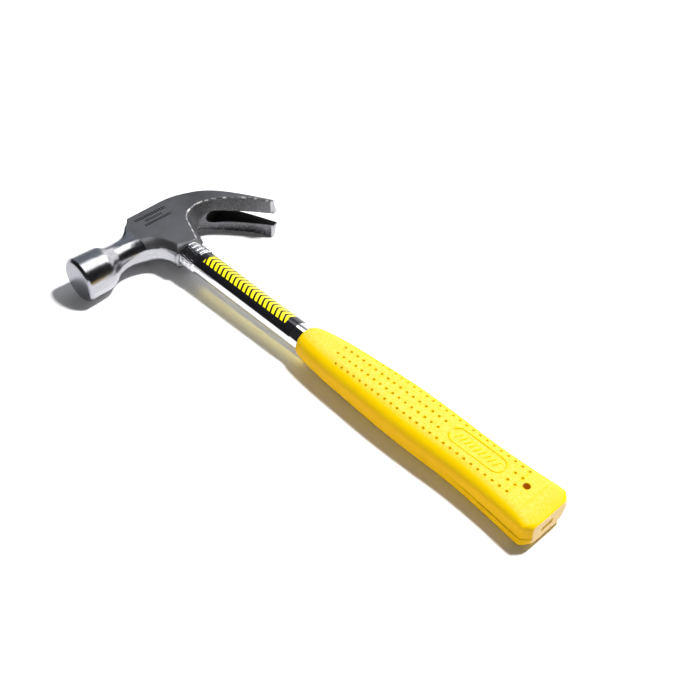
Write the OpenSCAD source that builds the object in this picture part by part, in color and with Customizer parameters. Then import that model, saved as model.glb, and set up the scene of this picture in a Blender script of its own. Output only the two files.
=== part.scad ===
// Claw hammer with a forged head, a plated tubular steel shaft and a moulded vinyl grip.
// Frame: the origin is the centre of the striking face. +Y runs from the face to the claws,
// +X runs down the shaft to the butt, and z = 0 is the plane that mirrors the hammer.
// All sizes are in millimetres.

/* [Striking head] */
// Diameter of the striking face and poll
poll_d = 28.5; // [26:0.5:31]
// Length of the poll, from the face to its rear rim
poll_len = 22; // [20:0.5:24]
// Diameter of the throat behind the poll
throat_d = 17.6; // [16:0.2:19]
// Width of the edge bevel around the face
face_bevel = 1.8; // [1:0.1:2.5]
// Thickness of the head across its two flat cheeks
cheek_w = 18; // [18:0.2:20]

/* [Claws] */
// Width over the two claws at their tips
claw_w = 29.2; // [28:0.2:32]
// Gap between the claws at their tips
claw_gap = 9; // [7:0.2:10]

/* [Shaft] */
// Distance from the striking face to the middle of the shaft
shaft_y = 66.2; // [65.8:0.1:66.8]
// Outer diameter of the shaft tube
tube_d = 16.3; // [15.5:0.1:17]
// Wall thickness of the shaft tube
tube_wall = 1.5; // [1:0.1:2]
// Diameter of the rolled collar that seats against the head
collar_d = 17.8; // [17.2:0.1:18]
// Length of the rolled collar
collar_len = 12.5; // [11:0.5:14]
// Number of grooves rolled into the collar
collar_grooves = 3; // [2:1:4]

/* [Grip] */
// Distance along X from the middle of the face to the end of the butt
butt_x = 308; // [302:0.5:312]
// Length of the grip
grip_len = 176.5; // [172:0.5:180]
// Width of the grip at the butt
butt_w = 35.6; // [34:0.2:37]
// Thickness of the grip at the butt
butt_t = 19.4; // [19:0.1:21]
// Diameter of the hanging hole
hang_hole_d = 4; // [3.5:0.1:5]
// Distance from the butt's end to the hanging hole
hang_hole_inset = 18; // [17:0.1:20]
// How far the hanging hole sits from the shaft's middle, towards the claws
hang_hole_shift = 2.8; // [0:0.1:4]

/* [Label] */
// Length of the label on the shaft
label_len = 86; // [70:0.5:90]
// Angle that the label wraps around the shaft
label_wrap = 165; // [120:5:200]

/* [Hidden] */

$fn = 64;
eps = 0.05;
curve_steps = 14;

mouth_x = 25.5;            // the socket's mouth, where the collar seats
crown_x = -21.2;           // the flat top of the head
crown_front = [-20.6, 52];
crown_rear = [crown_x, 78];
socket_w = 20;             // width of the socket along Y
poll_taper = 0.7;          // how much smaller the poll's radius is at its rear rim
throat_x = -2.6;           // the throat sits a little above the poll's middle
claw_tip = [33.2, 131.8];
claw_tip_inner = [31.2, 127.5];
tip_slant = 3;             // how far the tips' outer corners fall back
claw_root = [-10, 88];
claw_angle = 45;           // direction of the claws' chord, turned from +Y towards +X
claw_chord = norm(claw_tip - claw_root);
root_gap = 2;              // crown-side width of the slot at its inner end
slot_start = 16;           // where the slot starts, along the claws' chord
slot_open_end = claw_chord + 12;
slot_handle_side = 4;      // the slot is shaped between these two planes, one on each
slot_crown_side = -12;     // side of the claws' chord
slot_lean = 6;             // how far the inner end leans from one plane to the other
slot_taper = 0.6;

eye_d = 12.5;              // the eye that holds the shaft's swaged end
eye_flare_d = 15;          // the eye at the crown, where the end is spread
eye_flare_len = 9;
fit_gap = 0.02;            // clearance between parts that are pressed together
collar_x = mouth_x + fit_gap;
tube_end_x = butt_x - 23;  // the tube stops short of the hanging hole
groove_depth = 0.45;
groove_w = 0.9;
shoulder_len = 1;

grip_x = butt_x - grip_len;
butt_chamfer = 4.4;
label_x = collar_x + collar_len + 1;
label_t = 0.15;
label_mid = 107;           // middle of the label, turned from the face side towards +Z

// A cubic curve from a to d, steered by b and c, without its last point.
function curve(a, b, c, d, steps = curve_steps) = [
    for (i = [0 : steps - 1])
        let (t = i / steps, u = 1 - t)
            u * u * u * a + 3 * u * u * t * b + 3 * u * t * t * c + t * t * t * d
];

// Turns a profile drawn as [radius, distance] into a solid along +X on the shaft's axis.
module on_shaft() {
    translate([0, shaft_y, 0]) rotate([0, 90, 0]) children();
}

// Stands a shape that is drawn as [distance along the claws, z] up along the claws' chord.
module on_claws() {
    translate([claw_root[0], claw_root[1], 0])
        rotate([0, 0, 90 - claw_angle])
            rotate([90, 0, 0])
                children();
}

// Poll: bevelled face, slightly tapered drum and rounded rear rim, all around the Y axis.
module poll() {
    poll_r = poll_d / 2;
    rear_r = poll_r - poll_taper;
    rim_r = 2.5;
    rotate([-90, 0, 0])
        rotate_extrude()
            polygon(concat(
                [[0, 0], [poll_r - face_bevel, 0], [poll_r, face_bevel]],
                curve([rear_r, poll_len - 2 * rim_r], [rear_r, poll_len - rim_r / 2],
                      [rear_r - rim_r / 2, poll_len], [throat_d / 2, poll_len + rim_r], 8),
                [[throat_d / 2, poll_len + rim_r], [0, poll_len + rim_r]]
            ));
}

// Throat: a waisted round neck between the poll and the cheeks.
module throat() {
    throat_r = throat_d / 2;
    start_r = throat_r + 1.2;
    start_y = poll_len - 6;
    narrow_y = start_y + 14;
    end_y = crown_front[1];
    translate([throat_x, 0, 0])
        rotate([-90, 0, 0])
            rotate_extrude()
                polygon(concat(
                    [[0, start_y]],
                    curve([start_r, start_y], [throat_r, poll_len],
                          [throat_r, narrow_y], [throat_r, end_y]),
                    [[throat_r, end_y], [0, end_y]]
                ));
}

// Plan outline of everything behind the throat: crown, claws, claw root and socket.
module head_outline() {
    throat_top = throat_x - throat_d / 2;
    throat_low = throat_x + throat_d / 2;
    socket_front = [mouth_x, shaft_y - socket_w / 2];
    socket_rear = [mouth_x, shaft_y + socket_w / 2];
    root_low = [8, 83.5];
    root_high = [3, 94];
    polygon(concat(
        [crown_front],
        curve(crown_rear, [crown_x, 104], [5.5, 115.5], claw_tip),
        [claw_tip],
        curve(claw_tip_inner, [18, 116], [3, 105], root_high),
        curve(root_high, [3, 89], [4, 85.5], root_low),
        [root_low, socket_rear],
        curve(socket_front, [10, 56.6], [throat_low + 0.4, 50], [throat_low, 36]),
        [[throat_low, 36]],
        curve([throat_top, 34], [throat_top - 0.5, 42], [-14, 48], crown_front)
    ));
}

// The forging's flare behind the throat: it rounds the front of the cheeks' block.
module cheek_flare() {
    cheek_r = cheek_w / 2;
    front_y = 30;
    rear_y = 150;
    wide_r = 90;
    translate([throat_x, 0, 0])
        rotate([-90, 0, 0])
            rotate_extrude()
                polygon(concat(
                    [[0, front_y], [cheek_r, front_y]],
                    curve([cheek_r + 0.1, 38], [cheek_r + 0.8, 46], [14, 49], [32, 54]),
                    [[32, 54], [wide_r, 62], [wide_r, rear_y], [0, rear_y]]
                ));
}

// Claws' width: from the cheeks' thickness at the root to the full width at the tips.
module claw_spread() {
    cheek_r = cheek_w / 2;
    claw_r = claw_w / 2;
    front = -90;
    spread_start = 6;
    corner = [claw_chord - tip_slant, claw_r];
    upper = concat(
        [[front, cheek_r]],
        curve([spread_start, cheek_r], [14, claw_r - 1.4], [26, claw_r - 0.7], corner),
        [corner, [claw_chord, 0]]
    );
    lower = [for (i = [len(upper) - 2 : -1 : 0]) [upper[i][0], -upper[i][1]]];
    on_claws()
        linear_extrude(160, center = true)
            polygon(concat(upper, lower));
}

// Keeps the cheeks and the socket flat: the head may only get thicker behind the socket.
module cheek_flats() {
    flat_end = shaft_y + socket_w / 2 + 2;
    free_from = flat_end + 20;
    rear_y = 150;
    rotate([90, 0, 90])
        linear_extrude(160, center = true)
            polygon([
                [0, -cheek_w / 2], [flat_end, -cheek_w / 2], [free_from, -claw_w / 2],
                [rear_y, -claw_w / 2], [rear_y, claw_w / 2],
                [free_from, claw_w / 2], [flat_end, cheek_w / 2], [0, cheek_w / 2]
            ]);
}

// One side of the nail slot: a round inner end and a straight end beyond the tips.
module slot_side(depth, inner_end, inner_r, tip_gap) {
    on_claws()
        translate([0, 0, depth])
            linear_extrude(1)
                union() {
                    translate([inner_end, 0]) circle(inner_r, $fn = 32);
                    translate([slot_open_end, 0]) square([1, tip_gap], center = true);
                }
}

// Nail slot: a vee that opens towards the tips and is wider on the handle's side.
module nail_slot() {
    wide_r = claw_gap / 2 - slot_taper / 2;
    hull() {
        slot_side(slot_handle_side, slot_start + wide_r, wide_r, claw_gap + slot_taper);
        slot_side(slot_crown_side, slot_start + slot_lean, root_gap / 2, claw_gap - slot_taper);
    }
}

// The eye: a round hole down the socket, flared at the crown.
module eye_hole() {
    flare_x = crown_x + eye_flare_len;
    on_shaft()
        rotate_extrude()
            polygon([
                [0, crown_x - 2], [eye_flare_d / 2, crown_x - 2], [eye_flare_d / 2, crown_x],
                [eye_d / 2, flare_x], [eye_d / 2, mouth_x + 2], [0, mouth_x + 2]
            ]);
}

// Forged head: poll, throat, cheeks, socket and the two claws in one piece.
module head() {
    color([0.42, 0.42, 0.45])
        difference() {
            union() {
                poll();
                throat();
                intersection() {
                    linear_extrude(claw_w + 4, center = true) head_outline();
                    claw_spread();
                    cheek_flats();
                    cheek_flare();
                }
            }
            nail_slot();
            eye_hole();
        }
}

// Outside of the shaft as [radius, x], from the crown to the butt's end of the tube.
function shaft_outside(spigot_r, flare_r, shaft_r, collar_r) = [
    [flare_r, crown_x], [spigot_r, crown_x + eye_flare_len], [spigot_r, collar_x],
    [collar_r, collar_x], [collar_r, collar_x + collar_len - shoulder_len],
    [shaft_r, collar_x + collar_len], [shaft_r, tube_end_x]
];

// Grooves rolled around the collar.
module rolled_grooves() {
    pitch = collar_len / (collar_grooves + 1);
    for (i = [1 : collar_grooves])
        on_shaft()
            translate([0, 0, collar_x + i * pitch - groove_w / 2])
                difference() {
                    cylinder(r = collar_d, h = groove_w);
                    translate([0, 0, -eps])
                        cylinder(d = collar_d - 2 * groove_depth, h = groove_w + 2 * eps);
                }
}

// Shaft: one tube, swaged down in the eye, with a rolled collar that seats on the socket.
module shaft_tube() {
    outside = shaft_outside(eye_d / 2 - fit_gap, eye_flare_d / 2 - fit_gap, tube_d / 2, collar_d / 2);
    inside = shaft_outside(eye_d / 2 - tube_wall, eye_flare_d / 2 - tube_wall,
                           tube_d / 2 - tube_wall, tube_d / 2 - tube_wall);
    color([0.8, 0.81, 0.83])
        difference() {
            on_shaft()
                rotate_extrude()
                    polygon(concat(outside, [for (i = [len(inside) - 1 : -1 : 0]) inside[i]]));
            rolled_grooves();
        }
}

// Plug: a tapered steel slug driven into the shaft's end to spread it in the eye.
module eye_plug() {
    flare_x = crown_x + eye_flare_len;
    plug_gap = tube_wall + fit_gap;
    color([0.5, 0.5, 0.52])
        on_shaft()
            rotate_extrude()
                polygon([
                    [0, crown_x], [eye_flare_d / 2 - plug_gap, crown_x],
                    [eye_d / 2 - plug_gap, flare_x], [eye_d / 2 - plug_gap, flare_x + 4],
                    [eye_d / 2 - plug_gap - 1, flare_x + 5], [0, flare_x + 5]
                ]);
}

// Label: a thin film on the upper side of the shaft.
module label() {
    inner_r = tube_d / 2 + fit_gap;
    color([0.05, 0.05, 0.06])
        on_shaft()
            rotate([0, 0, 270 - label_mid - label_wrap / 2])
                rotate_extrude(angle = label_wrap)
                    translate([inner_r, label_x])
                        square([label_t, label_len]);
}

// One cross-section of the grip: a rounded rectangle at x with width w, thickness t and
// corner radius r, moved towards the claws by shift.
module grip_section(x, w, t, r, shift) {
    for (side = [-1, 1], face = [-1, 1])
        translate([x, shaft_y + shift + side * (w / 2 - r), face * (t / 2 - r)])
            rotate([0, 90, 0])
                cylinder(r = r, h = 0.02, $fn = 32);
}

// Grip: swells from the shaft, narrows a little and flares to a chamfered butt.
module grip() {
    // Each section is [x, width, thickness, corner radius, shift towards the claws].
    sections = [
        [grip_x, 17.6, 17.4, 8.6, 0.2],
        [grip_x + 6, 20.6, 19.4, 9, 0.5],
        [grip_x + 19, 24.6, 20, 9, 1],
        [grip_x + 74, 31.4, 21.2, 8.6, 1.6],
        [grip_x + 124, 30.6, 20.8, 8, 1.5],
        [butt_x - 24, 33, 20, 6.5, 1],
        [butt_x - butt_chamfer, butt_w, butt_t, 5.5, 0.6],
        [butt_x - 0.02, butt_w - 2 * butt_chamfer, butt_t - 2, 5, 0.6]
    ];
    mouth_overlap = 1;
    tube_end_gap = 0.2;
    bore_len = tube_end_x + tube_end_gap - grip_x + mouth_overlap;
    color([1, 0.85, 0])
        difference() {
            union()
                for (i = [0 : len(sections) - 2])
                    hull() {
                        for (s = [sections[i], sections[i + 1]])
                            grip_section(s[0], s[1], s[2], s[3], s[4]);
                    }
            on_shaft()
                translate([0, 0, grip_x - mouth_overlap])
                    cylinder(d = tube_d + 2 * fit_gap, h = bore_len);
            translate([butt_x - hang_hole_inset, shaft_y + hang_hole_shift, 0])
                cylinder(d = hang_hole_d, h = 2 * butt_t, center = true);
        }
}

head();
shaft_tube();
eye_plug();
label();
grip();
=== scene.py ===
"""Claw hammer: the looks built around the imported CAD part.

Shapes are worked out in millimetres and turned into metres when a mesh is made. The frame is the
CAD part's: the origin is the centre of the striking face, +Y runs from the face to the claws,
+X runs down the shaft to the butt, and z = 0 mirrors the hammer.

The head and the grip are fields: functions that are negative inside the solid. solid_mesh() turns
a field into a smooth mesh.
"""

import math

import bpy
import numpy as np
from mathutils import Matrix, Vector


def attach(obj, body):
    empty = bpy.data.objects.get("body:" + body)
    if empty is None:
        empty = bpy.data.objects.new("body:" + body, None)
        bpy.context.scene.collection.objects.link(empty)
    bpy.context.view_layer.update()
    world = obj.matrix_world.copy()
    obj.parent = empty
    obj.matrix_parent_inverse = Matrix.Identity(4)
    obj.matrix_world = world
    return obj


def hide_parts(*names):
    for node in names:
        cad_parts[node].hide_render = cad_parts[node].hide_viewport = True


MM = 0.001

# ---------------------------------------------------------------- sizes in millimetres

SHAFT_Y = 66.2
CROWN_X = -21.2
MOUTH_X = 25.5
THROAT_X = -2.6
THROAT_R = 8.8
CHEEK_Z = 9.0
CLAW_HALF_W = 14.6
CLAW_START = (-10.0, 88.0)
CLAW_SPREAD_START = 5.0
CLAW_SPREAD_LEN = 16.0
CLAW_SPREAD_EASE = 8.0
SLOT_HALF_W = 4.4
CLAW_MOUTH_Y = 80
POLL_R = 14.25
FACE_BEVEL = 1.8
NECK_START = 36
NECK_END = 46
NECK_END_R = 7.6

EYE_R = 6.25
EYE_FLARE_R = 7.5
EYE_FLARE_LEN = 9.0

TUBE_R = 8.15
TUBE_WALL = 1.5
TUBE_END_X = 285.0
COLLAR_R = 8.9
COLLAR_LEN = 12.5
FIT_GAP = 0.02

LABEL_X = (39.0, 125.0)
LABEL_ANGLES = (24.5, 189.5)
LABEL_THICKNESS = 0.15

GRIP_X = 131.5
BUTT_X = 308.0
BUTT_CHAMFER = 4.4
HANG_HOLE = (290.0, 69.0)
HANG_HOLE_R = 2.0


# ---------------------------------------------------------------- small shape helpers

def curve(a, b, c, d, steps=12):
    """Points of a cubic curve from a to d, steered by b and c, without its last point."""
    t = np.arange(steps)[:, None] / steps
    u = 1 - t
    a, b, c, d = (np.array(p, float) for p in (a, b, c, d))
    return u**3 * a + 3 * u * u * t * b + 3 * u * t * t * c + t**3 * d


def smooth_step(low, high, value):
    """0 below low, 1 above high and an even S between them."""
    t = np.clip((value - low) / (high - low), 0, 1)
    return t * t * (3 - 2 * t)


def mix(a, b, share):
    return a + (b - a) * share


def smooth_max(a, b, width):
    """The larger of two fields, with the edge where they meet rounded over width."""
    near = np.maximum(width - np.abs(a - b), 0) / width
    return np.maximum(a, b) + near * near * width / 4


def smooth_min(a, b, width):
    return -smooth_max(-a, -b, width)


def rounded_both(a, b, radius):
    """Inside both fields, with the edge where they meet rounded to a radius."""
    inner = np.minimum(np.maximum(a, b), -radius)
    return inner + np.hypot(np.maximum(a + radius, 0), np.maximum(b + radius, 0))


def flow(x, table, column):
    """A column of a table of stations, read at x along a smooth curve through its points."""
    rows = np.array(table, float)
    at, value = rows[:, 0], rows[:, column]
    slope = np.gradient(value, at)
    i = np.clip(np.searchsorted(at, x) - 1, 0, len(at) - 2)
    step = at[i + 1] - at[i]
    t = np.clip((x - at[i]) / step, 0, 1)
    u = 1 - t
    return (
        u * u * (1 + 2 * t) * value[i]
        + u * u * t * step * slope[i]
        + t * t * (3 - 2 * t) * value[i + 1]
        - t * t * u * step * slope[i + 1]
    )


def outline_distance(x, y, outline):
    """Distance from points to a closed outline, negative inside it."""
    nearest = np.full(np.broadcast(x, y).shape, np.inf)
    inside = np.zeros(nearest.shape, bool)
    for (ax, ay), (bx, by) in zip(outline, np.roll(outline, -1, axis=0)):
        ex, ey = bx - ax, by - ay
        along = np.clip(((x - ax) * ex + (y - ay) * ey) / (ex * ex + ey * ey + 1e-12), 0, 1)
        nearest = np.minimum(nearest, (x - ax - along * ex) ** 2 + (y - ay - along * ey) ** 2)
        crosses = (ay > y) != (by > y)
        if by != ay:
            inside ^= crosses & (x < ax + (y - ay) * ex / ey)
    return np.where(inside, -1, 1) * np.sqrt(nearest)


def path_distance(x, y, path):
    """Distance from points to an open path."""
    nearest = np.full(np.broadcast(x, y).shape, np.inf)
    for (ax, ay), (bx, by) in zip(path[:-1], path[1:]):
        ex, ey = bx - ax, by - ay
        along = np.clip(((x - ax) * ex + (y - ay) * ey) / (ex * ex + ey * ey + 1e-12), 0, 1)
        nearest = np.minimum(nearest, (x - ax - along * ex) ** 2 + (y - ay - along * ey) ** 2)
    return np.sqrt(nearest)


# ---------------------------------------------------------------- from a field to a mesh

CUBE = [(i, j, k) for i in (0, 1) for j in (0, 1) for k in (0, 1)]
CUBE_EDGES = [(a, b) for a in CUBE for b in CUBE if a < b and sum(np.abs(np.subtract(a, b))) == 1]


def corner(grid, offset):
    """The grid's values at one corner of every cell."""
    return grid[tuple(slice(o, n - 1 + o) for o, n in zip(offset, grid.shape))]


def net_points(values):
    """One point in each cell that the surface crosses, in cells, and the cells' numbers."""
    count = sum(corner(values < 0, c).astype(np.int8) for c in CUBE)
    cells = np.argwhere((count > 0) & (count < 8))
    number = np.full(count.shape, -1)
    number[tuple(cells.T)] = np.arange(len(cells))
    total = np.zeros((len(cells), 3))
    hits = np.zeros(len(cells))
    for a, b in CUBE_EDGES:
        va = values[tuple((cells + a).T)]
        vb = values[tuple((cells + b).T)]
        crossed = (va < 0) != (vb < 0)
        share = np.where(crossed, va / np.where(crossed, va - vb, 1), 0)
        total += crossed[:, None] * (a + share[:, None] * np.subtract(b, a))
        hits += crossed
    return cells + total / hits[:, None], number


def net_faces(values, number):
    """Four-sided faces, one for each grid edge that the surface crosses."""
    inside = values < 0
    faces = []
    for axis in range(3):
        s, t = (axis + 1) % 3, (axis + 2) % 3
        near, far = [slice(None)] * 3, [slice(None)] * 3
        near[axis], far[axis] = slice(None, -1), slice(1, None)
        a, b = inside[tuple(near)], inside[tuple(far)]
        places = np.argwhere(a != b)
        step_s, step_t = np.eye(3, dtype=int)[s], np.eye(3, dtype=int)[t]
        ring = [places - step_s - step_t, places - step_t, places, places - step_s]
        quad = np.stack([number[tuple(p.T)] for p in ring], axis=1)
        leaving = a[tuple(places.T)]
        faces.append(np.where(leaving[:, None], quad, quad[:, ::-1]))
    return np.concatenate(faces)


def slope_of(field, points, step=0.02):
    """The field's value and slope at points."""
    here = field(*points.T)
    slope = np.empty_like(points)
    for axis in range(3):
        moved = points.copy()
        moved[:, axis] += step
        slope[:, axis] = (field(*moved.T) - here) / step
    return here, slope


def solid_mesh(name, field, low, high, cell):
    """A smooth mesh of the surface where the field is zero, between two corners."""
    axes = [np.arange(lo, hi + cell, cell) for lo, hi in zip(low, high)]
    x, y, z = np.meshgrid(*axes, indexing="ij", sparse=True)
    values = np.broadcast_to(field(x, y, z), [len(a) for a in axes])
    points, number = net_points(values)
    faces = net_faces(values, number)
    points = np.array(low) + points * cell
    for _ in range(3):
        here, slope = slope_of(field, points)
        steepness = np.maximum((slope**2).sum(1), 0.05)
        step = np.clip(here / steepness, -cell, cell)
        points -= step[:, None] * slope
    normals = slope_of(field, points)[1]
    normals /= np.maximum(np.linalg.norm(normals, axis=1), 1e-9)[:, None]
    return mesh_object(name, points, faces, normals), points, normals


def mesh_object(name, points, faces, normals=None):
    """An object from points in millimetres, shaded smooth."""
    mesh = bpy.data.meshes.new(name)
    mesh.from_pydata((np.asarray(points) * MM).tolist(), [], [list(f) for f in faces])
    mesh.validate()
    mesh.shade_smooth()
    if normals is not None:
        mesh.normals_split_custom_set_from_vertices(normals.tolist())
    thing = bpy.data.objects.new(name, mesh)
    bpy.context.scene.collection.objects.link(thing)
    return thing


def add_value(thing, name, values):
    """A number at each point of a mesh, which a material can read."""
    attribute = thing.data.attributes.new(name, "FLOAT", "POINT")
    attribute.data.foreach_set("value", np.asarray(values, np.float32))


# ---------------------------------------------------------------- head

def head_outline(claw_side, root):
    """Plan of the cheeks, claws and socket. The claws and the rear differ between the middle
    of the head's thickness and its two outer faces."""
    front_crown = (-20.6, 52)
    rear_crown = (CROWN_X, 78)
    top = THROAT_X - THROAT_R
    low = THROAT_X + THROAT_R
    mouth_front = (MOUTH_X, 55.8)
    return np.concatenate([
        curve((top, 26), (top, 42), (-14, 48), front_crown),
        [front_crown],
        curve(rear_crown, *claw_side["crown"], claw_side["tip"]),
        [claw_side["tip"]],
        curve(claw_side["tip_under"], *claw_side["under"], claw_side["root"]),
        curve(claw_side["root"], *root["bend"], root["corner"], 8),
        [root["corner"], root["mouth"]],
        curve(mouth_front, (12, 56.2), (7.4, 48), (low, 34)),
        [(low, 34), (low, 26)],
    ])


CLAW_MIDDLE = {
    "crown": [(CROWN_X, 105), (4, 115.5)], "tip": (32.8, 131.3), "tip_under": (33.7, 127.5),
    "under": [(20, 116.5), (3.2, 103)], "root": (3.2, 95),
}
ROOT_MIDDLE = {"bend": [(3.2, 89), (5.5, 84.5)], "corner": (10, 82.6), "mouth": (MOUTH_X, 76.4)}
CLAW_OUTER = {
    "crown": [(CROWN_X, 102.5), (2, 112.5)], "tip": (32.2, 128.9), "tip_under": (32.6, 125.9),
    "under": [(15.3, 119.7), (0.1, 99.3)], "root": (-1.2, 94.2),
}
ROOT_OUTER = {"bend": [(-2.2, 90), (-2, 83.4)], "corner": (5, 80), "mouth": (MOUTH_X, 72)}
MIDDLE_OUTLINE = head_outline(CLAW_MIDDLE, ROOT_MIDDLE)
OUTER_OUTLINE = head_outline(CLAW_OUTER, ROOT_OUTER)
REAR_EDGE = np.concatenate([
    curve(CLAW_OUTER["tip_under"], *CLAW_OUTER["under"], CLAW_OUTER["root"]),
    curve(CLAW_OUTER["root"], *ROOT_OUTER["bend"], ROOT_OUTER["corner"]),
    [ROOT_OUTER["corner"], ROOT_OUTER["mouth"], (MOUTH_X, 60)],
])


def along_claws(x, y):
    """Distance along the claws' chord, and sideways from it towards the handle."""
    dx, dy = x - CLAW_START[0], y - CLAW_START[1]
    return (dx + dy) / math.sqrt(2), (dx - dy) / math.sqrt(2)


def half_width(x, y):
    """Half the head's thickness: the cheeks', growing quickly at the claws' root."""
    along, down = along_claws(x, y)
    past = along - 0.4 * down - CLAW_SPREAD_START
    out = (past + np.hypot(past, CLAW_SPREAD_EASE)) / 2 * smooth_step(70, 92, y)
    return CLAW_HALF_W - (CLAW_HALF_W - CHEEK_Z) * np.exp(-out / CLAW_SPREAD_LEN)


def poll_radius(y, side):
    """Radius of the poll and neck at y. side runs from -1 at the crown to 1 at the handle."""
    bevel = [[0, POLL_R - FACE_BEVEL], [FACE_BEVEL, POLL_R], [12, 13.95]]
    crown_side = np.concatenate([
        bevel, curve((17.5, 13.75), (22.2, 13.6), (21.4, THROAT_R), (27, THROAT_R)),
        [[27, THROAT_R], [NECK_START, THROAT_R], [NECK_END, NECK_END_R]],
    ])
    handle_side = np.concatenate([
        bevel, curve((15, 13.6), (23, 13.1), (26, 9.3), (NECK_START, THROAT_R)),
        [[NECK_START, THROAT_R], [NECK_END, NECK_END_R]],
    ])
    share = smooth_step(-0.95, 0.25, side)
    return mix(np.interp(y, *crown_side.T), np.interp(y, *handle_side.T), share)


def poll_field(x, y, z):
    """Poll and turned neck: round about an axis that drops towards the crown behind the poll."""
    centre = THROAT_X * smooth_step(17, 28, y)
    radius = np.hypot(x - centre, z)
    side = (x - centre) / np.maximum(radius, 0.1)
    drum = (radius - poll_radius(y, side)) * 0.8
    ends = np.maximum(-y, y - NECK_END)
    return smooth_max(drum, ends, 0.5)


def block_field(x, y, z):
    """Cheeks, claws and socket: two outlines blended through the thickness, with rounded edges."""
    height = np.abs(z)
    along, _ = along_claws(x, y)
    claws = np.clip(along / 20, 0, 1)
    half_w = half_width(x, y)
    flat_middle = SLOT_HALF_W * claws
    outward = np.clip((np.hypot(height, 0.5) - flat_middle) / (half_w - flat_middle), 0, 1)
    plan = mix(outline_distance(x, y, MIDDLE_OUTLINE), outline_distance(x, y, OUTER_OUTLINE), outward)

    # The neck is almost round. Its edges sharpen at the crown and stay soft under the cheeks.
    neck_r, crown_edge_r = 8.7, 0.7
    cheek_edge_r = mix(7.6, 4.2, smooth_step(52, 62, y))
    handle_side = smooth_step(-7, 2, x) * (1 - smooth_step(60, 69, y))
    run_out = np.clip((y - NECK_START) / (NECK_END - NECK_START), 0, 1) ** 2
    crown_r = mix(neck_r, crown_edge_r, run_out)
    edge_r = mix(crown_r, mix(neck_r, cheek_edge_r, run_out), handle_side)
    half_w = half_w - 0.25 * (1 - run_out)
    block_start = 30
    return np.maximum(rounded_both(plan, height - half_w, edge_r), block_start - y)


def slot_field(x, y, z):
    """Nail slot: wide all along on the handle's side, a narrow vee on the crown's side."""
    along, down = along_claws(x, y)
    crown_w = 1.3 + 3.1 * np.clip((along - 27) / 33, 0, 1.3) ** 1.5
    handle_down = 1.4
    crown_down = -0.9 - 0.31 * (59.9 - along)
    depth = np.clip((handle_down - down) / (handle_down - crown_down), 0, 1)
    half_w = mix(SLOT_HALF_W, crown_w, depth)
    inner_end = 19.7 + 7 * depth
    return np.hypot(np.minimum(along - inner_end, 0), z) - half_w


def eye_field(x, y, z):
    """The round eye along the shaft, flared at the crown."""
    flare = np.clip((CROWN_X + EYE_FLARE_LEN - x) / EYE_FLARE_LEN, 0, 1)
    return np.hypot(y - SHAFT_Y, z) - mix(EYE_R, EYE_FLARE_R, flare)


def head_field(x, y, z):
    """The whole forging. The socket is cut square at its mouth, and the claws pass over the cut."""
    body = smooth_min(poll_field(x, y, z), block_field(x, y, z), 0.6)
    body = smooth_max(body, -slot_field(x, y, z), 0.5)
    body = smooth_max(body, x - MOUTH_X - np.maximum(y - CLAW_MOUTH_Y, 0), 0.5)
    return smooth_max(body, -eye_field(x, y, z), 0.3)


def build_head(cell):
    """The head, with values that say where it is polished, worn, ground or raw, and where its claws'
    undersides take painted shade.
    """
    head, points, normals = solid_mesh(
        "head_forged", head_field, (-22.6, -1.4, -16.4), (34.4, 133.2, 16.4), cell
    )
    x, y, z = points.T
    normal_x, normal_y, normal_z = normals.T
    along, _ = along_claws(x, y)

    neck = 1 - smooth_step(45.2, 46.4, y)
    near_edge = smooth_step(-7.2, -5.0, outline_distance(x, y, MIDDLE_OUTLINE))
    sweep = near_edge * smooth_step(-2, 3, x) * (1 - smooth_step(62, 66, y))
    sweep = sweep * (1 - smooth_step(0.35, 0.6, np.abs(normal_z)))
    add_value(head, "polish", np.clip(neck + sweep, 0, 1))

    edge = 1 - smooth_step(0.35, 0.8, path_distance(x, y, REAR_EDGE))
    add_value(head, "wear", edge * smooth_step(-0.9, -0.4, np.abs(z) - half_width(x, y)))

    tips = smooth_step(0.6, 0.85, normal_x) * smooth_step(29.5, 30.8, x)
    add_value(head, "ground", tips)

    inside_slot = smooth_step(0.6, 0.1, slot_field(x, y, z)) * smooth_step(12, 14, along)
    inside_eye = smooth_step(0.6, 0.1, eye_field(x, y, z)) * (x < MOUTH_X - 1)
    add_value(head, "raw", np.clip(inside_slot + inside_eye, 0, 1) * (1 - tips))

    # Painted shade: the claws' undersides are darkened, and the claw nearer the floor is darkened
    # most.
    under_claws = smooth_step(0.0, 0.5, normal_x - normal_y) * smooth_step(82, 96, y)
    far_claw_shade = smooth_step(-5, -12, z)
    add_value(head, "scale", under_claws * (0.45 + 0.55 * far_claw_shade) * (1 - tips))
    return head


# ---------------------------------------------------------------- shaft tube and label

def turned(name, outline, around, bumps=None):
    """A closed outline of [x, radius] turned about the shaft. bumps(x, r, angle) moves radii."""
    outline = np.array(outline, float)
    angle = np.arange(around) * 2 * math.pi / around
    x = np.repeat(outline[:, :1], around, axis=1)
    r = np.repeat(outline[:, 1:], around, axis=1)
    if bumps:
        r = bumps(x, r, angle[None, :])
    points = np.stack([x, SHAFT_Y - r * np.cos(angle), r * np.sin(angle)], axis=2)
    i, j = np.meshgrid(np.arange(len(outline)), np.arange(around), indexing="ij")
    ahead_i, ahead_j = (i + 1) % len(outline), (j + 1) % around
    faces = np.stack([
        i * around + j, ahead_i * around + j, ahead_i * around + ahead_j, i * around + ahead_j
    ], axis=2)
    return mesh_object(name, points.reshape(-1, 3), faces.reshape(-1, 4))


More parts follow.
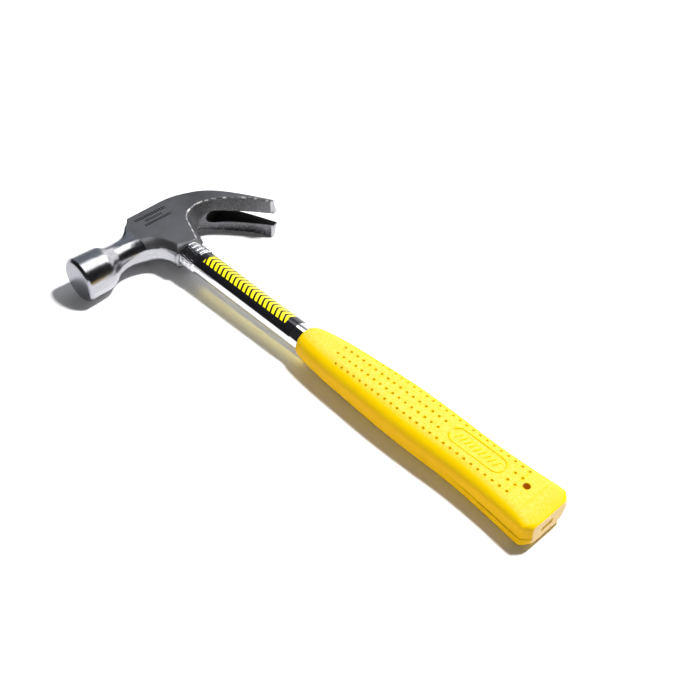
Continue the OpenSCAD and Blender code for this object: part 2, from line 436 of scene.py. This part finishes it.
def knurl(x, r, angle):
    """Three rings of small raised bars on the collar, with a groove on each side of a ring."""
    bars, ring_pitch, bar_len = 34, 3.9, 3.0
    first = MOUTH_X + 2.9
    ring = np.clip(np.round((x - first) / ring_pitch), 0, 2)
    off_ring = np.abs(x - first - ring * ring_pitch)
    on_ring = 1 - smooth_step(bar_len / 2 - 0.25, bar_len / 2 + 0.1, off_ring)
    turn = (angle / (2 * math.pi) * bars + ring / 3) % 1
    bar = smooth_step(0.3, 0.4, np.abs(turn - 0.5))
    lip = smooth_step(0.3, 0.12, np.abs(off_ring - ring_pitch / 2))
    on_collar = (x > MOUTH_X + 0.8) & (x < MOUTH_X + COLLAR_LEN - 1.0) & (r > TUBE_R)
    cut = 0.14 * (1 - on_ring * (1 - bar)) * (1 - lip)
    return r - on_collar * cut


def build_tube():
    """Tube from its swaged end in the eye to its cut end in the grip, with a knurled collar."""
    start, end = MOUTH_X + FIT_GAP, MOUTH_X + COLLAR_LEN
    flare_end = CROWN_X + EYE_FLARE_LEN
    spigot_r, flare_r = EYE_R - FIT_GAP, EYE_FLARE_R - FIT_GAP
    knurled = [(x, COLLAR_R) for x in np.arange(start + 0.3, end - 0.7, 0.16)]
    outside = [
        (CROWN_X, flare_r), (flare_end, spigot_r), (start, spigot_r),
        (start, COLLAR_R - 0.3), *knurled, (end - 0.3, COLLAR_R - 0.25),
        (end, TUBE_R + 0.05), (end + 0.3, TUBE_R),
        *[(x, TUBE_R) for x in np.linspace(end + 4, TUBE_END_X - 0.4, 24)],
        (TUBE_END_X, TUBE_R - 0.4),
    ]
    inside = [
        (TUBE_END_X, TUBE_R - TUBE_WALL), (end, TUBE_R - TUBE_WALL),
        (start, EYE_R - TUBE_WALL), (flare_end, EYE_R - TUBE_WALL), (CROWN_X, EYE_FLARE_R - TUBE_WALL),
    ]
    return turned("tube_plated", outside + inside, 272, knurl)


def build_label():
    """The label: a thin curved film. Its points hold their angle, which places the print."""
    inner = TUBE_R + FIT_GAP
    outer = inner + LABEL_THICKNESS
    angles = np.radians(np.linspace(*LABEL_ANGLES, 72))
    edge = 0.25
    x0, x1 = LABEL_X
    section = [(x0, inner), (x0, outer - 0.05), (x0 + 0.05, outer)]
    section += [(x, outer) for x in np.linspace(x0 + edge, x1 - edge, 60)]
    section += [(x1 - 0.05, outer), (x1, outer - 0.05), (x1, inner)]
    section = np.array(section)
    count = len(section)
    points, around = [], []
    for angle in angles:
        ring = [(x, SHAFT_Y - r * math.cos(angle), r * math.sin(angle)) for x, r in section]
        points += ring
        around += [math.degrees(angle)] * count
    faces = []
    for i in range(len(angles) - 1):
        for j in range(count):
            k = (j + 1) % count
            a, b = i * count, (i + 1) * count
            faces.append((a + j, a + k, b + k, b + j))
    faces.append(tuple(range(count))[::-1])
    faces.append(tuple(range((len(angles) - 1) * count, len(angles) * count)))
    label = mesh_object("label_film", points, faces)
    add_value(label, "around", around)
    return label


# ---------------------------------------------------------------- grip

# Stations along the grip: x, half width, half thickness, corner radius, shift towards the claws.
GRIP_STATIONS = [
    [131.5, 8.3, 8.3, 8.2, 0.1], [132.2, 8.9, 8.8, 8.5, 0.2], [134.0, 9.6, 9.4, 8.8, 0.35],
    [138.0, 10.5, 9.8, 9.0, 0.6],
    [150.5, 12.3, 10.1, 9.0, 1.0], [178, 14.3, 10.4, 8.8, 1.4], [205.5, 15.7, 10.6, 8.6, 1.6],
    [231, 15.7, 10.55, 8.3, 1.6], [255.5, 15.3, 10.4, 8.0, 1.5], [284, 16.4, 10.0, 6.6, 1.0],
    [303.6, 17.7, 9.7, 5.6, 0.6], [308.0, 17.8, 9.6, 5.6, 0.6],
]
PART_LINE_DROP = 2.2
BUTT_RECESS_HALF_LEN = 3.0
BUTT_RECESS_R = 1.4
BUTT_RECESS_DEPTH = 0.7
DIMPLE_PITCH = 4.7
DIMPLE_R = 1.0
DIMPLE_DEPTH = 1.0
DIMPLE_MIDDLE_Y = 68.25
# Rows of dimples: distance from the middle, first x, last x, and whether the badge interrupts it.
DIMPLE_ROWS = [(9.1, 163, 284, False), (3.05, 158.5, 284, True)]
BADGE_X = (240.0, 276.0)
BADGE_Y = 68.9
BADGE_HALF_W = 5.2


def dimples(x, y):
    """Depth of the rows of dimples at points of the grip's broad faces."""
    depth = 0
    side = np.abs(y - DIMPLE_MIDDLE_Y)
    for row, first, last, broken in DIMPLE_ROWS:
        number = np.clip(np.round((x - first) / DIMPLE_PITCH), 0, round((last - first) / DIMPLE_PITCH))
        centre = first + number * DIMPLE_PITCH
        here = np.hypot(x - centre, side - row)
        shown = 1.0
        if broken:
            shown = 1 - ((centre > BADGE_X[0] - 3) & (centre < BADGE_X[1] + 3))
        depth = depth + shown * smooth_step(DIMPLE_R, DIMPLE_R * 0.35, here)
    return depth * DIMPLE_DEPTH


def badge(x, y):
    """Height of the badge: a raised oval outline around a row of short slanted ribs."""
    straight = np.clip(x, BADGE_X[0] + BADGE_HALF_W, BADGE_X[1] - BADGE_HALF_W)
    from_rim = np.hypot(x - straight, y - BADGE_Y) - BADGE_HALF_W
    rim = smooth_step(0.55, 0.2, np.abs(from_rim))
    floor = smooth_step(0, -0.6, from_rim)
    ribs, rib_half_w, rib_half_len, lean = 9, 0.55, 2.3, 0.45
    pitch = (BADGE_X[1] - BADGE_X[0] - 2 * BADGE_HALF_W) / (ribs - 1)
    leaned = x - (BADGE_X[0] + BADGE_HALF_W) - lean * (y - BADGE_Y)
    number = np.clip(np.round(leaned / pitch), 0, ribs - 1)
    rib = smooth_step(rib_half_w, rib_half_w - 0.4, np.abs(leaned - number * pitch))
    rib = rib * smooth_step(rib_half_len, rib_half_len - 0.5, np.abs(y - BADGE_Y))
    return 0.45 * rim - 0.2 * floor + 0.5 * rib


def mould_lines(x, y):
    """Two faint ridges across the broad faces near the butt, left by the mould's inserts."""
    ridge = smooth_step(0.5, 0.1, np.abs(x - 285.4)) * smooth_step(9, 7.5, np.abs(y - 69))
    ridge = ridge + smooth_step(0.5, 0.1, np.abs(x - 296.5)) * smooth_step(12, 10.5, np.abs(y - 66))
    return 0.16 * ridge


def grip_field(x, y, z):
    """The moulded sleeve: a rounded bar through the stations, its relief, its butt and its bore."""
    half_w, half_t, corner_r, shift = (flow(x, GRIP_STATIONS, c) for c in (1, 2, 3, 4))
    late = smooth_step(235, 285, x)
    from_line = z + PART_LINE_DROP * late
    lip = smooth_step(0.25, -0.25, from_line)
    corner_r = corner_r * (1 - 0.18 * lip * late)
    half_w = half_w - 0.5 * late * (1 - lip)
    side = np.abs(y - SHAFT_Y - shift)
    out_y = side - (half_w - corner_r)
    out_z = np.abs(z) - (half_t - corner_r)
    body = np.hypot(np.maximum(out_y, 0), np.maximum(out_z, 0)) - corner_r
    body = body + np.minimum(np.maximum(out_y, out_z), 0)

    face = smooth_step(0.3, 0.6, np.abs(z) / half_t)
    relief = dimples(x, y) - badge(x, y) - mould_lines(x, y)
    body = body + face * relief
    part_line = smooth_step(0.5, 0.1, np.abs(from_line - 0.35))
    body = body + 0.32 * part_line * smooth_step(250, 288, x)

    lean = 0.6 * np.maximum(-z, 0) * smooth_step(SHAFT_Y, SHAFT_Y + 8, y)
    chamfer = (side - half_w + x - BUTT_X + BUTT_CHAMFER + lean) / math.sqrt(2)
    body = smooth_max(body, chamfer, 0.7)
    crown = (np.abs(z) - half_t + 0.5 * (x - BUTT_X) + 3.2) * 0.89
    body = smooth_max(body, crown, 3.0)
    body = smooth_max(body, x - BUTT_X, 0.8)
    body = smooth_max(body, GRIP_X - x, 0.4)

    off_end = np.maximum(np.abs(y - SHAFT_Y + 1) - BUTT_RECESS_HALF_LEN, 0)
    recess = np.hypot(off_end, z) - BUTT_RECESS_R
    recess = smooth_max(recess, BUTT_X - BUTT_RECESS_DEPTH - x, 0.6)
    body = smooth_max(body, -recess, 0.8)
    hole = np.hypot(x - HANG_HOLE[0], y - HANG_HOLE[1]) - HANG_HOLE_R
    body = smooth_max(body, -hole, 0.25)
    bore = np.maximum(np.hypot(y - SHAFT_Y, z) - TUBE_R - FIT_GAP, x - TUBE_END_X - 0.2)
    return np.maximum(body, -bore)


def build_grip(cell):
    """The grip, with values that say where its dimples take painted shade and where its broad faces
    and butt end take painted highlight.
    """
    grip, points, normals = solid_mesh(
        "grip_vinyl", grip_field, (130.4, 46.2, -12.4), (309.2, 87.2, 12.4), cell
    )
    x, y, z = points.T
    # Painted shade in the dimples: their hollows are darkened in the material.
    pit_shade = dimples(x, y) / DIMPLE_DEPTH * smooth_step(3.5, 5.5, np.abs(z))
    add_value(grip, "pit_shade", pit_shade)
    # Painted highlight: faces that look up or down, and the butt end, are marked to be painted paler.
    on_end = smooth_step(0.8, 0.97, normals[:, 0])
    add_value(grip, "sheen_facing", np.maximum(np.abs(normals[:, 2]), on_end))
    add_value(grip, "end", on_end)
    return grip


# ---------------------------------------------------------------- materials

class Shader:
    """A material's node tree, with short calls for the nodes that the materials use."""

    def __init__(self, name):
        self.material = bpy.data.materials.new(name)
        self.material.use_nodes = True
        self.tree = self.material.node_tree
        self.surface = self.tree.nodes["Principled BSDF"]

    def node(self, kind, settings=None, **inputs):
        made = self.tree.nodes.new(kind)
        for key, value in (settings or {}).items():
            setattr(made, key, value)
        for key, value in inputs.items():
            self.feed(made.inputs[key.replace("_", " ")], value)
        return made

    def feed(self, socket, value):
        if isinstance(value, bpy.types.NodeSocket):
            self.tree.links.new(value, socket)
        else:
            socket.default_value = value

    def set(self, **inputs):
        for key, value in inputs.items():
            self.feed(self.surface.inputs[key.replace("_", " ")], value)

    def math(self, operation, a, b=0.0):
        made = self.tree.nodes.new("ShaderNodeMath")
        made.operation = operation
        self.feed(made.inputs[0], a)
        self.feed(made.inputs[1], b)
        return made.outputs[0]

    def smooth(self, value, low, high):
        """0 to 1 as value goes from low to high, whichever is larger."""
        made = self.node("ShaderNodeMapRange", {"interpolation_type": "SMOOTHSTEP"}, Value=value)
        flipped = low > high
        made.inputs["From Min"].default_value = min(low, high)
        made.inputs["From Max"].default_value = max(low, high)
        made.inputs["To Min"].default_value = 1.0 if flipped else 0.0
        made.inputs["To Max"].default_value = 0.0 if flipped else 1.0
        return made.outputs["Result"]

    def attribute(self, name):
        return self.node("ShaderNodeAttribute", {"attribute_name": name}).outputs["Fac"]

    def place(self, stretch=(1, 1, 1)):
        """Object coordinates in millimetres, stretched."""
        coords = self.node("ShaderNodeTexCoord").outputs["Object"]
        mapping = self.node("ShaderNodeMapping", Vector=coords)
        mapping.inputs["Scale"].default_value = [s / MM for s in stretch]
        return mapping.outputs["Vector"]

    def axes(self):
        """x, y and z in millimetres."""
        return self.node("ShaderNodeSeparateXYZ", Vector=self.place()).outputs[:3]

    def noise(self, scale, detail=3.0, stretch=(1, 1, 1)):
        """Noise with scale repeats in a millimetre."""
        made = self.node("ShaderNodeTexNoise", Vector=self.place(stretch), Scale=scale, Detail=detail)
        return made.outputs["Fac"]

    def blend(self, share, a, b):
        """A colour between a and b."""
        made = self.node("ShaderNodeMix", {"data_type": "RGBA"})
        self.feed(made.inputs[0], share)
        self.feed(made.inputs[6], a)
        self.feed(made.inputs[7], b)
        return made.outputs[2]

    def lerp(self, share, a, b):
        """A number between a and b."""
        made = self.node("ShaderNodeMix", {"data_type": "FLOAT"})
        self.feed(made.inputs[0], share)
        self.feed(made.inputs[2], a)
        self.feed(made.inputs[3], b)
        return made.outputs[0]

    def bump(self, height, depth_mm, strength=1.0):
        """Lets a height map of 0 to 1 shape the surface, depth_mm deep."""
        made = self.node("ShaderNodeBump", Height=height, Distance=depth_mm * MM, Strength=strength)
        self.set(Normal=made.outputs["Normal"])


def grey(value, blue=1.0):
    return (value, value, value * blue, 1)


# Rows of stamped marks on the upper cheek: x of the row, half height, first y, last y, pitch.
STAMP_ROWS = [(-14.6, 1.5, 54, 77, 1.9), (-10.7, 1.1, 59, 72, 1.5), (-7.0, 1.25, 56, 76, 1.7)]


def stamp_marks(shader):
    """Short dashes in three rows on the cheek that faces up."""
    x, y, z = shader.axes()
    total = 0.0
    for row_x, half_h, first, last, pitch in STAMP_ROWS:
        off_row = shader.math("ABSOLUTE", shader.math("SUBTRACT", x, row_x))
        in_row = shader.smooth(off_row, half_h + 0.15, half_h - 0.15)
        middle = shader.math("ABSOLUTE", shader.math("SUBTRACT", y, (first + last) / 2))
        in_span = shader.math("LESS_THAN", middle, (last - first) / 2)
        beat = shader.math("PINGPONG", y, pitch / 2)
        dash = shader.smooth(beat, pitch * 0.12, pitch * 0.2)
        mark = shader.math("MULTIPLY", shader.math("MULTIPLY", in_row, in_span), dash)
        total = shader.math("ADD", mark, total)
    return shader.math("MULTIPLY", total, shader.math("GREATER_THAN", z, CHEEK_Z - 0.3))


def forged_steel():
    s = Shader("forged_steel")
    polish, wear, raw = s.attribute("polish"), s.attribute("wear"), s.attribute("raw")
    scale, ground = s.attribute("scale"), s.attribute("ground")
    face = s.smooth(s.axes()[1], 0.9, 0.2)
    marks = stamp_marks(s)
    cloud = s.noise(0.12, 4.0)
    grain = s.noise(2.6, 3.0)
    streaks = s.noise(1.1, 3.0, (1.0, 0.05, 1.0))
    chips = s.lerp(s.smooth(s.noise(0.45, 4.0), 0.47, 0.6), 0.08, 1.0)
    wear = s.math("MULTIPLY", wear, chips)

    matte = s.blend(cloud, grey(0.19, 1.03), grey(0.27, 1.05))
    matte = s.blend(s.math("MULTIPLY", s.smooth(grain, 0.4, 0.7), 0.3), matte, grey(0.34, 1.04))
    shiny = s.blend(s.smooth(streaks, 0.35, 0.65), grey(0.44, 1.05), grey(0.53, 1.05))
    shiny = s.blend(face, shiny, grey(0.34, 1.1))
    colour = s.blend(polish, matte, shiny)
    # Painted shade for the claws' undersides, mottled dark to mid grey.
    claw_shade_mottle = s.smooth(s.noise(0.9, 4.0), 0.45, 0.7)
    claw_shade_colour = s.blend(claw_shade_mottle, grey(0.03, 1.1), grey(0.2, 1.1))
    colour = s.blend(scale, colour, claw_shade_colour)
    colour = s.blend(wear, colour, grey(0.72))
    colour = s.blend(ground, colour, s.blend(grain, grey(0.35, 1.03), grey(0.6, 1.03)))
    colour = s.blend(raw, colour, grey(0.02, 0.95))
    colour = s.blend(s.math("MULTIPLY", marks, 0.95), colour, grey(0.035, 1.1))

    rough = s.lerp(polish, s.lerp(grain, 0.36, 0.52), s.lerp(streaks, 0.15, 0.28))
    rough = s.lerp(wear, rough, 0.4)
    rough = s.lerp(raw, rough, 0.7)
    metal = s.math("SUBTRACT", s.lerp(polish, 0.92, 1.0), s.math("MULTIPLY", wear, 0.5))
    s.set(Base_Color=colour, Metallic=metal, Roughness=rough)

    fine = s.lerp(polish, grain, s.math("MULTIPLY", streaks, 0.35))
    relief = s.math("SUBTRACT", fine, s.math("MULTIPLY", marks, 3.0))
    s.bump(relief, 0.03)
    return s.material


def plated_steel():
    s = Shader("plated_steel")
    smudge = s.noise(0.2, 4.0)
    scratches = s.noise(3.0, 2.0, (0.04, 1.0, 1.0))
    s.set(
        Base_Color=s.blend(smudge, grey(0.78, 1.02), grey(0.88, 1.02)),
        Metallic=1.0,
        Roughness=s.lerp(s.smooth(smudge, 0.4, 0.7), 0.05, 0.1),
    )
    s.bump(scratches, 0.0025)
    return s.material


def plug_steel():
    s = Shader("plug_steel")
    x, y, z = s.axes()
    centred = s.math("SUBTRACT", y, SHAFT_Y)
    radius = s.math("SQRT", s.math("ADD", s.math("POWER", centred, 2.0), s.math("POWER", z, 2.0)))
    rings = s.math("PINGPONG", radius, 0.35)
    blotch = s.noise(0.5, 4.0)
    s.set(
        Base_Color=s.blend(blotch, grey(0.28), grey(0.48)),
        Metallic=1.0,
        Roughness=s.lerp(blotch, 0.35, 0.55),
    )
    s.bump(s.math("ADD", rings, s.math("MULTIPLY", blotch, 0.4)), 0.06)
    return s.material


PRINT_X = (43.5, 118.0)
PRINT_ANGLES = (60.0, 127.0)
PRINT_PITCH = 3.73


def label_film():
    """Glossy black film with a row of yellow arrowheads."""
    s = Shader("label_film")
    x = s.axes()[0]
    around = s.attribute("around")
    middle = sum(PRINT_ANGLES) / 2
    half = (PRINT_ANGLES[1] - PRINT_ANGLES[0]) / 2
    off_middle = s.math("ABSOLUTE", s.math("SUBTRACT", around, middle))
    in_band = s.smooth(off_middle, half + 0.6, half - 0.6)
    from_start = s.math("SUBTRACT", x, PRINT_X[0])
    leaned = s.math("ADD", from_start, s.math("MULTIPLY", off_middle, -0.075))
    beat = s.math("MODULO", s.math("ADD", leaned, 4 * PRINT_PITCH), PRINT_PITCH)
    rising = s.smooth(beat, 0.3, 0.5)
    falling = s.smooth(beat, PRINT_PITCH - 1.0, PRINT_PITCH - 1.2)
    arrow = s.math("MULTIPLY", rising, falling)
    started = s.math("GREATER_THAN", x, PRINT_X[0])
    inside = s.math("MULTIPLY", started, s.math("LESS_THAN", x, PRINT_X[1]))
    ink = s.math("MULTIPLY", s.math("MULTIPLY", arrow, in_band), inside)
    film_noise = s.noise(0.5, 3.0)
    black = s.blend(film_noise, (0.006, 0.006, 0.008, 1), (0.014, 0.013, 0.016, 1))
    yellow = s.blend(film_noise, (0.98, 0.80, 0.0, 1), (1.0, 0.88, 0.01, 1))
    s.set(
        Base_Color=s.blend(ink, black, yellow),
        Roughness=s.lerp(ink, 0.16, 0.35),
        Coat_Weight=0.5,
        Coat_Roughness=0.08,
    )
    s.bump(s.math("ADD", ink, s.math("MULTIPLY", film_noise, 0.2)), 0.02)
    return s.material


def grip_vinyl():
    s = Shader("grip_vinyl")
    pit_shade, sheen_facing = s.attribute("pit_shade"), s.attribute("sheen_facing")
    cloud = s.noise(0.05, 3.0)
    grain = s.noise(3.5, 3.0)
    mottle = s.noise(0.8, 3.0)
    body = s.blend(cloud, (0.79, 0.43, 0.0, 1), (0.81, 0.47, 0.0, 1))
    # Painted highlight and sheen: the broad faces are paler, and the flattest faces take a mottled
    # pale sheen.
    body = s.blend(s.smooth(sheen_facing, 0.15, 0.6), body, (0.85, 0.56, 0.0, 1))
    mottled_sheen = s.blend(s.smooth(mottle, 0.3, 0.7), (0.78, 0.49, 0.03, 1), (0.80, 0.54, 0.09, 1))
    body = s.blend(s.smooth(sheen_facing, 0.8, 1.0), body, mottled_sheen)
    # Painted highlight: the butt end's face is made pale.
    body = s.blend(s.attribute("end"), body, (0.98, 0.70, 0.32, 1))
    s.set(
        # Painted shade: the dimples' hollows are darkened towards brown.
        Base_Color=s.blend(s.math("MULTIPLY", pit_shade, 0.75), body, (0.45, 0.28, 0.0, 1)),
        Roughness=s.lerp(grain, 0.4, 0.54),
        Specular_IOR_Level=0.08,
        Subsurface_Weight=0.12,
        Subsurface_Scale=0.002,
    )
    s.surface.inputs["Subsurface Radius"].default_value = (1.0, 0.7, 0.1)
    s.bump(grain, 0.02)
    return s.material


def floor_paper():
    s = Shader("floor_paper")
    fibre = s.noise(0.4, 4.0)
    s.set(
        Base_Color=s.blend(fibre, (0.86, 0.865, 0.875, 1), (0.9, 0.9, 0.91, 1)),
        Roughness=0.8,
    )
    s.bump(fibre, 0.02)
    return s.material


def give(thing, material):
    """Puts a material on a piece. A CAD node keeps its mesh, so the object's slot holds it."""
    if not thing.data.materials:
        thing.data.materials.append(material)
    for part in thing.material_slots:
        part.link = "OBJECT"
        part.material = material


# ---------------------------------------------------------------- studio

# The hammer lies on the poll's rim, a claw's corner and the butt, so the floor leans a little
# in its frame: z = FLOOR_Z + FLOOR_SLOPE_X * x + FLOOR_SLOPE_Y * y.
FLOOR_Z = -14.26
FLOOR_SLOPE_X = 0.0162
FLOOR_SLOPE_Y = -0.0074

CAMERA_AZIMUTH = 44.78
CAMERA_ELEVATION = 44.10
CAMERA_ROLL = 1.71
CAMERA_DISTANCE = 619.5
CAMERA_AIM = (154.1, 79.3, 0.0)
CAMERA_LENS = 56.11


def build_floor():
    size = 6000.0
    corners = [(-size, -size), (size, -size), (size, size), (-size, size)]
    points = [(x, y, FLOOR_Z + FLOOR_SLOPE_X * x + FLOOR_SLOPE_Y * y) for x, y in corners]
    floor = mesh_object("studio_floor", points, [(0, 1, 2, 3)])
    give(floor, floor_paper())


def build_world():
    """A dark studio that the steel reflects, with a grey wall and a white one past the claws."""
    world = bpy.data.worlds.new("studio")
    world.use_nodes = True
    bpy.context.scene.world = world
    tree = world.node_tree
    coords = tree.nodes.new("ShaderNodeTexCoord")
    split = tree.nodes.new("ShaderNodeSeparateXYZ")
    tree.links.new(coords.outputs["Generated"], split.inputs[0])

    def ramp(socket, low, high):
        made = tree.nodes.new("ShaderNodeMapRange")
        made.interpolation_type = "SMOOTHSTEP"
        made.inputs["From Min"].default_value = low
        made.inputs["From Max"].default_value = high
        tree.links.new(socket, made.inputs["Value"])
        return made.outputs["Result"]

    def product(a, b):
        made = tree.nodes.new("ShaderNodeMath")
        made.operation = "MULTIPLY"
        for socket, value in zip(made.inputs, (a, b)):
            if isinstance(value, float):
                socket.default_value = value
            else:
                tree.links.new(value, socket)
        return made.outputs[0]

    def blend(share, under, over):
        made = tree.nodes.new("ShaderNodeMix")
        made.data_type = "RGBA"
        tree.links.new(share, made.inputs[0])
        if isinstance(under, tuple):
            made.inputs[6].default_value = under
        else:
            tree.links.new(under, made.inputs[6])
        made.inputs[7].default_value = over
        return made.outputs[2]

    claws_way = split.outputs["Y"]
    crown_way = product(split.outputs["X"], -1.0)
    grey_wall = product(ramp(claws_way, 0.05, 0.3), ramp(crown_way, -0.25, 0.1))
    white_wall = product(ramp(claws_way, 0.6, 0.75), ramp(crown_way, -0.4, -0.2))
    colour = blend(grey_wall, (0.02, 0.02, 0.022, 1), (0.26, 0.28, 0.32, 1))
    colour = blend(white_wall, colour, (1.3, 1.3, 1.3, 1))
    tree.links.new(colour, tree.nodes["Background"].inputs["Color"])


def area_light(name, place, aim, size, power, colour=(1, 1, 1)):
    """A rectangular softbox at place, facing aim, in millimetres and watts."""
    data = bpy.data.lights.new(name, "AREA")
    data.shape = "RECTANGLE"
    data.size, data.size_y = size[0] * MM, size[1] * MM
    data.energy = power
    data.color = colour
    lamp = bpy.data.objects.new(name, data)
    lamp.location = Vector(place) * MM
    facing = Vector(aim) - Vector(place)
    lamp.rotation_euler = facing.to_track_quat("-Z", "Y").to_euler()
    bpy.context.scene.collection.objects.link(lamp)
    return lamp


def build_lights():
    panel = area_light("overhead_panel", (22, 310, 350), (22, 310, 0), (300, 390), 0.85)
    panel.visible_diffuse = False
    hidden = [
        area_light("key_light", (330, 533, 1100), (150, 60, 0), (145, 145), 24.0),
        area_light("sky_fill", (150, 60, 1500), (150, 60, 0), (2000, 2000), 2.1),
        area_light("grip_fill", (190, -420, 80), (200, 60, 0), (200, 80), 0.8),
        area_light("label_glow", (88, 61, -9.5), (88, 52, -14), (92, 6), 0.0013, (1.0, 0.79, 0.02)),
    ]
    for lamp in hidden:
        lamp.visible_glossy = False


def build_camera():
    azimuth, elevation, roll = map(math.radians, (CAMERA_AZIMUTH, CAMERA_ELEVATION, CAMERA_ROLL))
    back = Vector((
        math.sin(azimuth) * math.cos(elevation),
        -math.cos(azimuth) * math.cos(elevation),
        math.sin(elevation),
    ))
    right = Vector((math.cos(azimuth), math.sin(azimuth), 0))
    up = back.cross(right)
    rolled_right = right * math.cos(roll) + up * math.sin(roll)
    rolled_up = up * math.cos(roll) - right * math.sin(roll)
    data = bpy.data.cameras.new("photo_view")
    data.lens = CAMERA_LENS
    camera = bpy.data.objects.new("photo_view", data)
    turn = Matrix((rolled_right, rolled_up, back)).transposed().to_4x4()
    place = (Vector(CAMERA_AIM) + back * CAMERA_DISTANCE) * MM
    camera.matrix_world = Matrix.Translation(place) @ turn
    bpy.context.scene.collection.objects.link(camera)
    bpy.context.scene.camera = camera


# ---------------------------------------------------------------- the scene


def dress(piece, node, material):
    """piece stands for a CAD node, rides on the one body and takes its finish from a slot."""
    give(piece, material)
    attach(piece, "root")
    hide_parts(node)


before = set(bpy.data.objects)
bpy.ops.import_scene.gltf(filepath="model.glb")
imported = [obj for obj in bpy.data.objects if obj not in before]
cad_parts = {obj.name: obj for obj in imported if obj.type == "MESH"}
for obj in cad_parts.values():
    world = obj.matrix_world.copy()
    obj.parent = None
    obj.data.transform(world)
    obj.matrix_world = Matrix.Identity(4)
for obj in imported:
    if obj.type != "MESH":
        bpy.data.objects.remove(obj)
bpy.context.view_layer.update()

dress(build_head(0.5), "head", forged_steel())
dress(build_tube(), "shaft_tube", plated_steel())
dress(build_label(), "label", label_film())
dress(build_grip(0.5), "grip", grip_vinyl())
give(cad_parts["eye_plug"], plug_steel())

build_floor()
build_world()
build_lights()
build_camera()
bpy.context.scene.view_settings.view_transform = "Standard"
